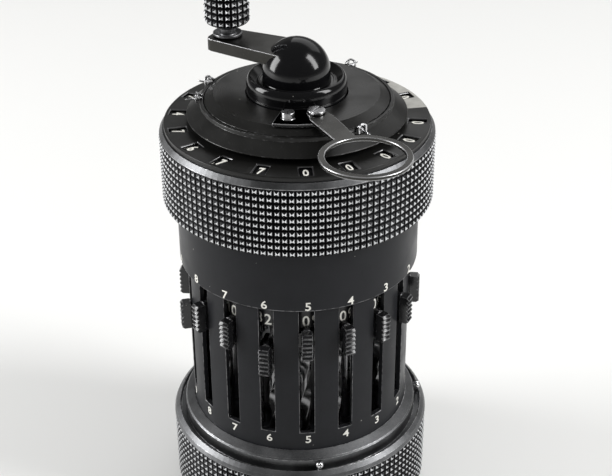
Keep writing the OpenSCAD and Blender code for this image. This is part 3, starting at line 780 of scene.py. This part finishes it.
def prism(bm, outline_points, start, end, place):
    """A straight solid over an outline of (u, v) points, between two distances."""
    low, high = ([bm.verts.new(place(u, v, w)) for u, v in outline_points] for w in (start, end))
    bm.faces.new(low)
    bm.faces.new(reversed(high))
    for i in range(len(low)):
        j = (i + 1) % len(low)
        bm.faces.new([low[i], high[i], high[j], low[j]])


def spin(bm, profile, place, steps=24):
    """Turns a profile of (along, radius) points, closed at both ends, round a sloping axis."""
    rings = []
    for along, r in profile:
        count = steps if r > 1e-6 else 1
        turns = [2 * math.pi * i / steps for i in range(count)]
        rings.append([bm.verts.new(place(along, r * math.cos(a), r * math.sin(a))) for a in turns])
    for low, high in zip(rings, rings[1:]):
        bridge(bm, low, high, steps)


class CALCULATOR_OT_base(bpy.types.Operator):
    """Knurled base ring with its shoulder and groove, and the cover under it"""

    bl_idname = "calculator.base"
    bl_label = "Base"

    def execute(self, context):
        s = sizes()
        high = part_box("base_ring")[1] / MM
        r, top = high.x, high.z
        depth = 0.38
        knurl_low, knurl_high = 2.4, 17.9
        barrel_r, groove_in, groove_out = 22.42, 24.4, 25.55
        body = [
            (r - depth, knurl_high), (r - 0.1, knurl_high), (r, knurl_high + 0.1),
            (r, knurl_high + 0.2), (r - 0.35, knurl_high + 0.9),
            (groove_out + 0.25, top - 2.8), (groove_out, top - 2.9), (groove_out, top - 3.9),
            (groove_in, top - 3.9), (groove_in, top - 1.25), (groove_in - 0.25, top - 0.95),
            (barrel_r, top), (barrel_r, top - 3.0), (barrel_r - 2.0, top - 3.0),
            (barrel_r - 2.0, 2.2), (23.6, 2.2), (23.6, 0.0), (r - 1.3, 0.0), (r - 0.5, 0.8),
            (r - 0.5, knurl_low), (r - depth, knurl_low),
        ]
        bm = bmesh.new()
        revolve(bm, rounded(body, 0.1, closed=False), s.base_columns, closed=False)
        second_finish(bm)
        knurl_h = knurl_high - knurl_low
        knurl(bm, r, depth, knurl_low, knurl_h, s.base_columns, s.base_rows, land=0.12)
        knurled_piece(bm, "base_ring")
        dress("base_cover")
        return {"FINISHED"}


class CALCULATOR_OT_body(bpy.types.Operator):
    """Slotted barrel and upper band, with the figures at both ends of the slots"""

    bl_idname = "calculator.body"
    bl_label = "Barrel and band"

    def execute(self, context):
        dress("barrel")
        dress("upper_band")
        barrel_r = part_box("barrel")[1].x / MM
        band_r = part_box("upper_band")[1].x / MM
        height = sizes().figure_height
        bm = bmesh.new()
        for n in SLIDERS:
            angle = slider_angle(n) + FIGURE_SHIFT
            write_figure(bm, str(n), on_drum(band_r, angle, BAND_FIGURES_Z), height, width=1.1)
            write_figure(bm, str(n), on_drum(barrel_r, angle, BARREL_FIGURES_Z), height, width=1.1)
        close_up(bm)
        settle(make_object("slot_figures", bm, [finishes()["figures"]]), "barrel")
        return {"FINISHED"}


class CALCULATOR_OT_sliders(bpy.types.Operator):
    """Setting sliders, their screws with number drums, and the reversing lever"""

    bl_idname = "calculator.sliders"
    bl_label = "Setting sliders"

    def execute(self, context):
        for n in SLIDERS:
            dress(f"slider_{n}", 0.08)
            self.spindle(n)
        dress("reversing_lever", 0.08)
        return {"FINISHED"}

    def spindle(self, n):
        node = f"spindle_{n}"
        angle = slider_angle(n)
        low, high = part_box(node)
        centre = (low + high) / 2 / MM
        spot = (centre.x, centre.y)
        top, bottom = high.z / MM, low.z / MM
        drum_r, drum_low = (high.x - low.x) / 2 / MM, top - DRUM_UNDER_TOP - DRUM_HEIGHT
        drum_top = drum_low + DRUM_HEIGHT
        bm = bmesh.new()
        layers, turn = 96, 360 * (drum_low - SCREW_FOOT) / SCREW_LEAD
        flat = [(-1.05, -0.4), (-0.9, -0.55), (0.9, -0.55), (1.05, -0.4)]
        flat += [(-x, -y) for x, y in flat]
        rings = []
        for j in range(layers + 1):
            a = math.radians(angle + turn * j / layers)
            z = SCREW_FOOT + (drum_low + 0.01 - SCREW_FOOT) * j / layers
            cos, sin = math.cos(a), math.sin(a)
            ring = [(spot[0] + x * cos - y * sin, spot[1] + x * sin + y * cos, z) for x, y in flat]
            rings.append([bm.verts.new(Vector(point) * MM) for point in ring])
        for lower, upper in zip(rings, rings[1:]):
            bridge(bm, lower, upper, len(flat))
        bm.faces.new(list(reversed(rings[0])))
        bm.faces.new(rings[-1])
        axle_r = 0.8
        axle = [(0, bottom), (axle_r, bottom), (axle_r, SCREW_FOOT + 0.2), (0, SCREW_FOOT + 0.2)]
        revolve(bm, rounded(axle, 0.05), 32, spot)
        drum = [(0, drum_low), (drum_r, drum_low), (drum_r, drum_top)]
        drum += [(axle_r, drum_top), (axle_r, top), (0, top)]
        start = len(bm.faces)
        revolve(bm, rounded(drum, 0.08), 64, spot)
        second_finish(bm, start)
        face_outwards(bm)
        stand_in(bm, node, "_screw", "screw", "dial_black")
        # The drum's figures come round to the front as the slider goes down
        bm = bmesh.new()
        axis = Vector((*spot, drum_low + DRUM_FIGURES_Z)) * MM
        size = DRUM_FIGURE_HEIGHT * MM
        for k in range(DIGITS):
            facing = angle - DIGIT_ANGLE * (k - SLIDER_SETTINGS[n - 1])

            def place(x, y, up, facing=facing):
                return axis + polar(drum_r * MM + up, facing + math.degrees(x / (drum_r * MM)), y)

            write_figure(bm, str(k), place, size, width=0.9, thick=0.04)
        close_up(bm)
        settle(make_object(node + "_figures", bm, [finishes()["drum_figures"]]), node)


class CALCULATOR_OT_works(bpy.types.Operator):
    """Main shaft, stepped drum, transmission shafts and the carriage's guide"""

    bl_idname = "calculator.works"
    bl_label = "Works"

    def execute(self, context):
        for node in ("main_shaft", "step_drum", "transmission_shafts", "carriage_guide"):
            dress(node, 0.06)
        return {"FINISHED"}


class CALCULATOR_OT_carriage(bpy.types.Operator):
    """Knurled carriage ring, dial plate and cone with its marker rail"""

    bl_idname = "calculator.carriage"
    bl_label = "Carriage"

    def execute(self, context):
        s = sizes()
        low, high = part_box("carriage_ring")
        r, z, top = high.x / MM, low.z / MM, high.z / MM
        depth, knurl_h = 0.38, 13.6
        knurl_top = z + knurl_h
        body = [
            (r - depth, knurl_top), (r - 0.15, knurl_top), (r - 0.1, knurl_top + 0.2),
            (r - 0.75, top), (r - 1.45, top), (r - 1.45, z + 2.2), (r - 2.55, z + 2.2),
            (r - 2.55, z), (r - depth, z),
        ]
        bm = bmesh.new()
        revolve(bm, rounded(body, 0.1, closed=False), s.ring_columns, closed=False)
        second_finish(bm)
        knurl(bm, r, depth, z, knurl_h, s.ring_columns, s.ring_rows, land=0.1)
        knurled_piece(bm, "carriage_ring")
        dress("dial_plate", 0.09, finish_name="dial_plate", chamfer=(0.2, self.round_window))
        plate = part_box("dial_plate")[1].z / MM
        outer, rail, cone_top = 21.0, 18.4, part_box("top_cone")[1].z / MM - 0.25
        cone = [
            (11.7, cone_top - 1.1), (11.7, cone_top), (rail - 0.8, cone_top),
            (rail - 0.6, cone_top + 0.25), (rail - 0.1, cone_top + 0.25),
            (rail, cone_top + 0.15), (rail, cone_top - 0.5), (outer - 0.1, plate + 0.25),
            (outer, plate + 0.15), (outer, plate), (outer - 1.7, plate),
            (rail - 1.7, cone_top - 1.1),
        ]
        turned_piece("top_cone", cone, 0.1)
        return {"FINISHED"}

    def round_window(self, edge):
        """True for the edges round the windows on the plate's upper face."""
        ends = [v.co for v in edge.verts]
        return all(
            p.z > PLATE_TOP - 0.01 * MM and WINDOWS_FROM < p.xy.length / MM < WINDOWS_TO
            for p in ends
        )


class CALCULATOR_OT_dials(bpy.types.Operator):
    """Number dials under the windows, with ten figures each"""

    bl_idname = "calculator.dials"
    bl_label = "Number dials"

    def execute(self, context):
        shown = {f"result_dial_{k + 1}": v for k, v in enumerate(RESULT_FIGURES)}
        shown.update({f"counter_dial_{k + 1}": v for k, v in enumerate(COUNTER_FIGURES)})
        for node, value in shown.items():
            dress(node, 0.05)
            self.figures(node, value)
        return {"FINISHED"}

    def figures(self, node, value):
        angle = dial_angle(node)
        low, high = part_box(node)
        dial_r, axis_z = (high.z - low.z) / 2, (high.z + low.z) / 2
        out, side, up_way = polar(1, angle), polar(1, angle + 90), Vector((0, 0, 1))
        bm = bmesh.new()
        for k in range(DIGITS):
            turn = math.radians(DIGIT_ANGLE * (k - value))

            def place(x, y, up, turn=turn):
                a = turn + x / dial_r
                way = math.cos(a) * up_way + math.sin(a) * side
                return out * (DIAL_FIGURES_R * MM - y) + up_way * axis_z + way * (dial_r + up)

            height = sizes().dial_figure_height
            write_figure(bm, str(k), place, height, width=0.72, thick=0.12)
        close_up(bm)
        settle(make_object(node + "_figures", bm, [finishes()["drum_figures"]]), node)


class CALCULATOR_OT_markers(bpy.types.Operator):
    """Decimal markers on the rail and in the base's groove"""

    bl_idname = "calculator.markers"
    bl_label = "Decimal markers"

    def execute(self, context):
        for k, angle in enumerate(RAIL_MARKERS):
            self.clip(f"top_marker_{k + 1}", angle)
        for k, angle in enumerate(BASE_MARKERS):
            self.bead(f"base_marker_{k + 1}", angle)
        return {"FINISHED"}

    def clip(self, node, angle):
        """A clip on the rail: two cheeks, an arch in front and a finger that points outwards."""
        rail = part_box("top_cone")[1].z / MM
        inner, outer, finger = 17.8, 19.15, 2.0
        foot, spring, half, hole = rail - 0.65, rail + 0.5, 1.0, 0.6

        def across(r, z, t):
            return (polar(r, angle, z) + polar(t, angle + 90)) * MM

        def along(t, z, r):
            return across(r, z, t)

        bm = bmesh.new()
        arch = ellipse(0, spring, half, 0.65, range(0, 181, 15)) + [(-half, foot), (-hole, foot)]
        arch += ellipse(0, spring, hole, 0.35, range(180, -1, -15)) + [(hole, foot), (half, foot)]
        prism(bm, arch, outer - 0.4, outer, along)
        cheek = [(outer - 0.2, rail + 0.05), (outer - 0.2, spring + 0.2)]
        cheek += [(outer - 0.6, spring + 0.2), (inner, rail + 0.4), (inner, rail + 0.05)]
        for side in (-1, 1):
            prism(bm, cheek, side * hole, side * (half - 0.05), across)
        saddle = [
            (outer - 0.1, foot + 0.05), (outer - 0.1, rail + 0.15), (inner + 0.1, rail + 0.15),
            (inner + 0.1, rail + 0.05), (outer - 0.65, rail + 0.05), (outer - 0.65, foot + 0.05),
        ]
        prism(bm, saddle, -0.25, 0.25, across)
        pin = [(outer - 0.3, 0), (outer - 0.3, 0.2), (outer + finger - 0.5, 0.17)]
        pin += [(outer + finger - 0.1, 0.12), (outer + finger, 0)]
        face_outwards(bm)
        soften(bm, 0.06 * MM, 40.0)
        spin(bm, pin, lambda r, a, b: across(r, rail - 0.25 + b, a))
        face_outwards(bm)
        stand_in(bm, node, "_clip", "chrome")

    def bead(self, node, angle):
        """A slotted bead on a stem that runs in the base's groove."""
        groove, top, r = 24.98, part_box("base_ring")[1].z / MM - 2.8, 0.8

        def place(t, a, b):
            return (polar(groove + 0.2 + a, angle, top + 0.15 + r + b) + polar(t, angle + 90)) * MM

        bm = bmesh.new()
        ball = ellipse(0, 0, -r, r, range(0, 181, 18))
        slot = [(-0.14, 0.78), (-0.12, 0.55), (0.12, 0.55), (0.14, 0.78)]
        spin(bm, ball[:5] + slot + ball[6:], place, 32)
        stem = [(0, top + 0.3), (0.42, top + 0.3), (0.42, top - 0.9), (0, top - 0.9)]
        spot = polar(groove, angle)
        revolve(bm, rounded(stem, 0.05), 24, (spot.x, spot.y))
        face_outwards(bm)
        stand_in(bm, node, "_bead", "chrome")


class CALCULATOR_OT_clearing(bpy.types.Operator):
    """Clearing disc, the lever's plate with its stop and screw, and the lever"""

    bl_idname = "calculator.clearing"
    bl_label = "Clearing lever"

    def execute(self, context):
        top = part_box("clearing_disc")[1].z / MM
        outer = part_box("clearing_disc")[1].x / MM
        disc = [
            (10.15, top - 3.8), (11.55, top - 3.8), (11.55, top - 1.3), (outer, top - 1.3),
            (outer, top - 1.15), (outer - 1.8, top), (9.7, top), (9.7, top - 1.3),
            (10.15, top - 1.3),
        ]
        turned_piece("clearing_disc", disc, 0.1, "disc")
        plate_top = top + 0.6
        dress("lever_plate", 0.1, "lever_plate", keep=lambda z: z < plate_top + 0.02)
        top_ones = {"slot": "chrome", "name": "lever_screw_and_stop"}
        dress("lever_plate", 0.1, "chrome", keep=lambda z: z > plate_top - 0.02, **top_ones)
        dress("clearing_lever", 0.14)
        return {"FINISHED"}


class CALCULATOR_OT_crank(bpy.types.Operator):
    """Collar, dome, arm and knurled grip of the crank"""

    bl_idname = "calculator.crank"
    bl_label = "Crank"

    def execute(self, context):
        low, high = (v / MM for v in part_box("crank_collar"))
        r, crest = high.x, high.z
        flange, belly, valley = crest - 3.6, crest - 1.8, crest - 1.2
        collar = [(3.05, low.z), (7.9, low.z), (7.9, flange), (r - 0.1, flange)]
        collar += [(r - 0.05, flange + 0.1), (r - 0.05, flange + 0.5), (r - 0.2, flange + 0.6)]
        collar += ellipse(r - 0.8, belly, 0.8, 1.8, range(0, 100, 6))
        collar += [(7.6, valley), (7.2, valley + 0.15), (7.0, valley + 0.15), (6.95, valley)]
        turned_piece("crank_collar", collar + [(3.05, valley)], 0.06)
        foot, dome_top = (v.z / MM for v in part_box("crank_hub"))
        dome_r = 6.4
        dome = [(0, foot), (dome_r + 0.1, foot), (dome_r + 0.1, foot + 0.2), (dome_r, foot + 0.35)]
        dome += ellipse(0, dome_top - dome_r, dome_r, dome_r, range(0, 90, 5))
        turned_piece("crank_hub", dome + [(0, dome_top)], 0.1)
        dress("crank_arm", 0.1, "arm")
        self.grip()
        return {"FINISHED"}

    def grip(self):
        s = sizes()
        low, high = (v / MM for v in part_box("handle_grip"))
        centre = (low + high) / 2
        spot = (centre.x, centre.y)
        z, top, r = low.z, high.z, (high.x - low.x) / 2
        knurl_low, knurl_high = z + 2.8, top - 1.6
        core = r - 0.85
        bm = bmesh.new()
        profile = [
            (0.95, z), (2.5, z), (2.8, z + 0.25), (2.8, z + 0.6), (2.65, z + 0.7),
            (1.65, z + 0.3), (1.5, z + 0.5), (1.5, knurl_low - 1.3),
            (core - 0.5, knurl_low - 0.5), (core, knurl_low), (core, knurl_high),
            (core, top - 0.4), (core - 0.5, top), (0.95, top),
        ]
        revolve(bm, rounded(profile, 0.1), 96, spot)
        second_finish(bm)
        depth = 0.42
        sleeve_in, valley, knurl_h = core - 0.4, r - depth, knurl_high - knurl_low
        inner = [(valley, knurl_high), (sleeve_in, knurl_high)]
        inner += [(sleeve_in, knurl_low), (valley, knurl_low)]
        revolve(bm, rounded(inner, 0, closed=False), s.grip_columns, spot, closed=False)
        knurl(bm, r, depth, knurl_low, knurl_h, s.grip_columns, s.grip_rows, land=0.14, offset=spot)
        knurled_piece(bm, "handle_grip")


class CALCULATOR_OT_stage(bpy.types.Operator):
    """Pale floor, soft lamps and the camera at the photograph's place"""

    bl_idname = "calculator.stage"
    bl_label = "Stage"

    def execute(self, context):
        self.floor()
        self.lamps()
        self.camera()
        return {"FINISHED"}

    def floor(self):
        bm = bmesh.new()
        bmesh.ops.create_grid(bm, x_segments=1, y_segments=1, size=3.0)
        pale = bpy.data.materials.new("Pale floor")
        pale.use_nodes = True
        tree = pale.node_tree
        shader = tree.nodes["Principled BSDF"]
        shader.inputs["Roughness"].default_value = 0.7
        patch = noise(tree, add(tree, "TexCoord").outputs["Object"], 3.0)
        tone = colours().floor
        shade = mix(tree, patch, [c * 0.98 for c in tone], tone)
        tree.links.new(shade, shader.inputs["Base Color"])
        make_object("floor", bm, [pale])

    def lamps(self):
        world = bpy.data.worlds.new("Studio")
        bpy.context.scene.world = world
        world.use_nodes = True
        tree = world.node_tree
        tree.nodes.clear()
        path = add(tree, "LightPath").outputs
        mirrored = times(tree, path["Is Glossy Ray"], 0.15)
        spread = times(tree, path["Is Diffuse Ray"], 0.5)
        seen = calc(tree, "MAXIMUM", mirrored, spread)
        strength = calc(tree, "MAXIMUM", path["Is Camera Ray"], seen)
        back = add(tree, "Background", {"Color": (0.95, 0.95, 0.94, 1), "Strength": strength})
        tree.links.new(back.outputs[0], add(tree, "OutputWorld").inputs["Surface"])
        target = Vector((0, 0, 0.06))
        # Azimuth, elevation, distance, width, height and power of each lamp
        for label, azimuth, elevation, away, wide, tall, power in (
            ("left", -104, 20, 0.75, 0.30, 0.5, 5.5),
            ("right", 60, 35, 0.75, 0.22, 0.6, 5.0),
            ("back", 142, 38, 0.9, 0.9, 0.5, 1.3),
        ):
            data = bpy.data.lights.new(label, "AREA")
            data.shape, data.size, data.size_y, data.energy = "RECTANGLE", wide, tall, power
            lamp = place_object(label, data)
            lift = math.radians(elevation)
            way = polar(math.cos(lift), azimuth, math.sin(lift))
            lamp.location = target + way * away
            lamp.rotation_euler = (-way).to_track_quat("-Z", "Y").to_euler()

    def camera(self):
        data = bpy.data.cameras.new("camera")
        # Fitted to the photograph: lens and upright axis in pixels, then the camera's place
        width, focal_px, axis_px = 612, 1309.54, 298.34
        azimuth, elevation, away, aim_z, tilt = -13.55, 29.984, 0.26318, 58.286, -0.6
        data.sensor_width = 36
        data.lens = focal_px * data.sensor_width / width
        data.shift_x = (width / 2 - axis_px) / width
        data.clip_start, data.clip_end = 0.01, 20
        camera = place_object("camera", data)
        lift = math.radians(elevation)
        way = polar(math.cos(lift), azimuth, math.sin(lift))
        camera.location = Vector((0, 0, aim_z)) * MM + way * away
        roll = Matrix.Rotation(math.radians(tilt), 4, "Z")
        turn = (-way).to_track_quat("-Z", "Y").to_matrix().to_4x4() @ roll
        camera.rotation_euler = turn.to_euler()
        bpy.context.scene.camera = camera
        bpy.context.scene.view_settings.view_transform = "Standard"


class CALCULATOR_PT_panel(bpy.types.Panel):
    """Sizes, colours and steps of the calculator"""

    bl_label = "Calculator"
    bl_idname = "CALCULATOR_PT_panel"
    bl_space_type = "VIEW_3D"
    bl_region_type = "UI"
    bl_category = "Calculator"

    def draw(self, context):
        for group_of in (context.scene.calculator_sizes, context.scene.calculator_colours):
            for name in group_of.__annotations__:
                self.layout.prop(group_of, name)
        for step in STEPS:
            self.layout.operator(step.bl_idname)


STEPS = (
    CALCULATOR_OT_base,
    CALCULATOR_OT_body,
    CALCULATOR_OT_sliders,
    CALCULATOR_OT_works,
    CALCULATOR_OT_carriage,
    CALCULATOR_OT_dials,
    CALCULATOR_OT_markers,
    CALCULATOR_OT_clearing,
    CALCULATOR_OT_crank,
    CALCULATOR_OT_stage,
)
CLASSES = (CalculatorSizes, CalculatorColours) + STEPS + (CALCULATOR_PT_panel,)


def register():
    for made in CLASSES:
        bpy.utils.register_class(made)
    bpy.types.Scene.calculator_sizes = bpy.props.PointerProperty(type=CalculatorSizes)
    bpy.types.Scene.calculator_colours = bpy.props.PointerProperty(type=CalculatorColours)


def unregister():
    del bpy.types.Scene.calculator_colours
    del bpy.types.Scene.calculator_sizes
    for made in reversed(CLASSES):
        bpy.utils.unregister_class(made)


def main():
    register()
    for step in STEPS:
        getattr(bpy.ops.calculator, step.bl_idname.split(".")[1])()


if __name__ == "__main__":
    main()
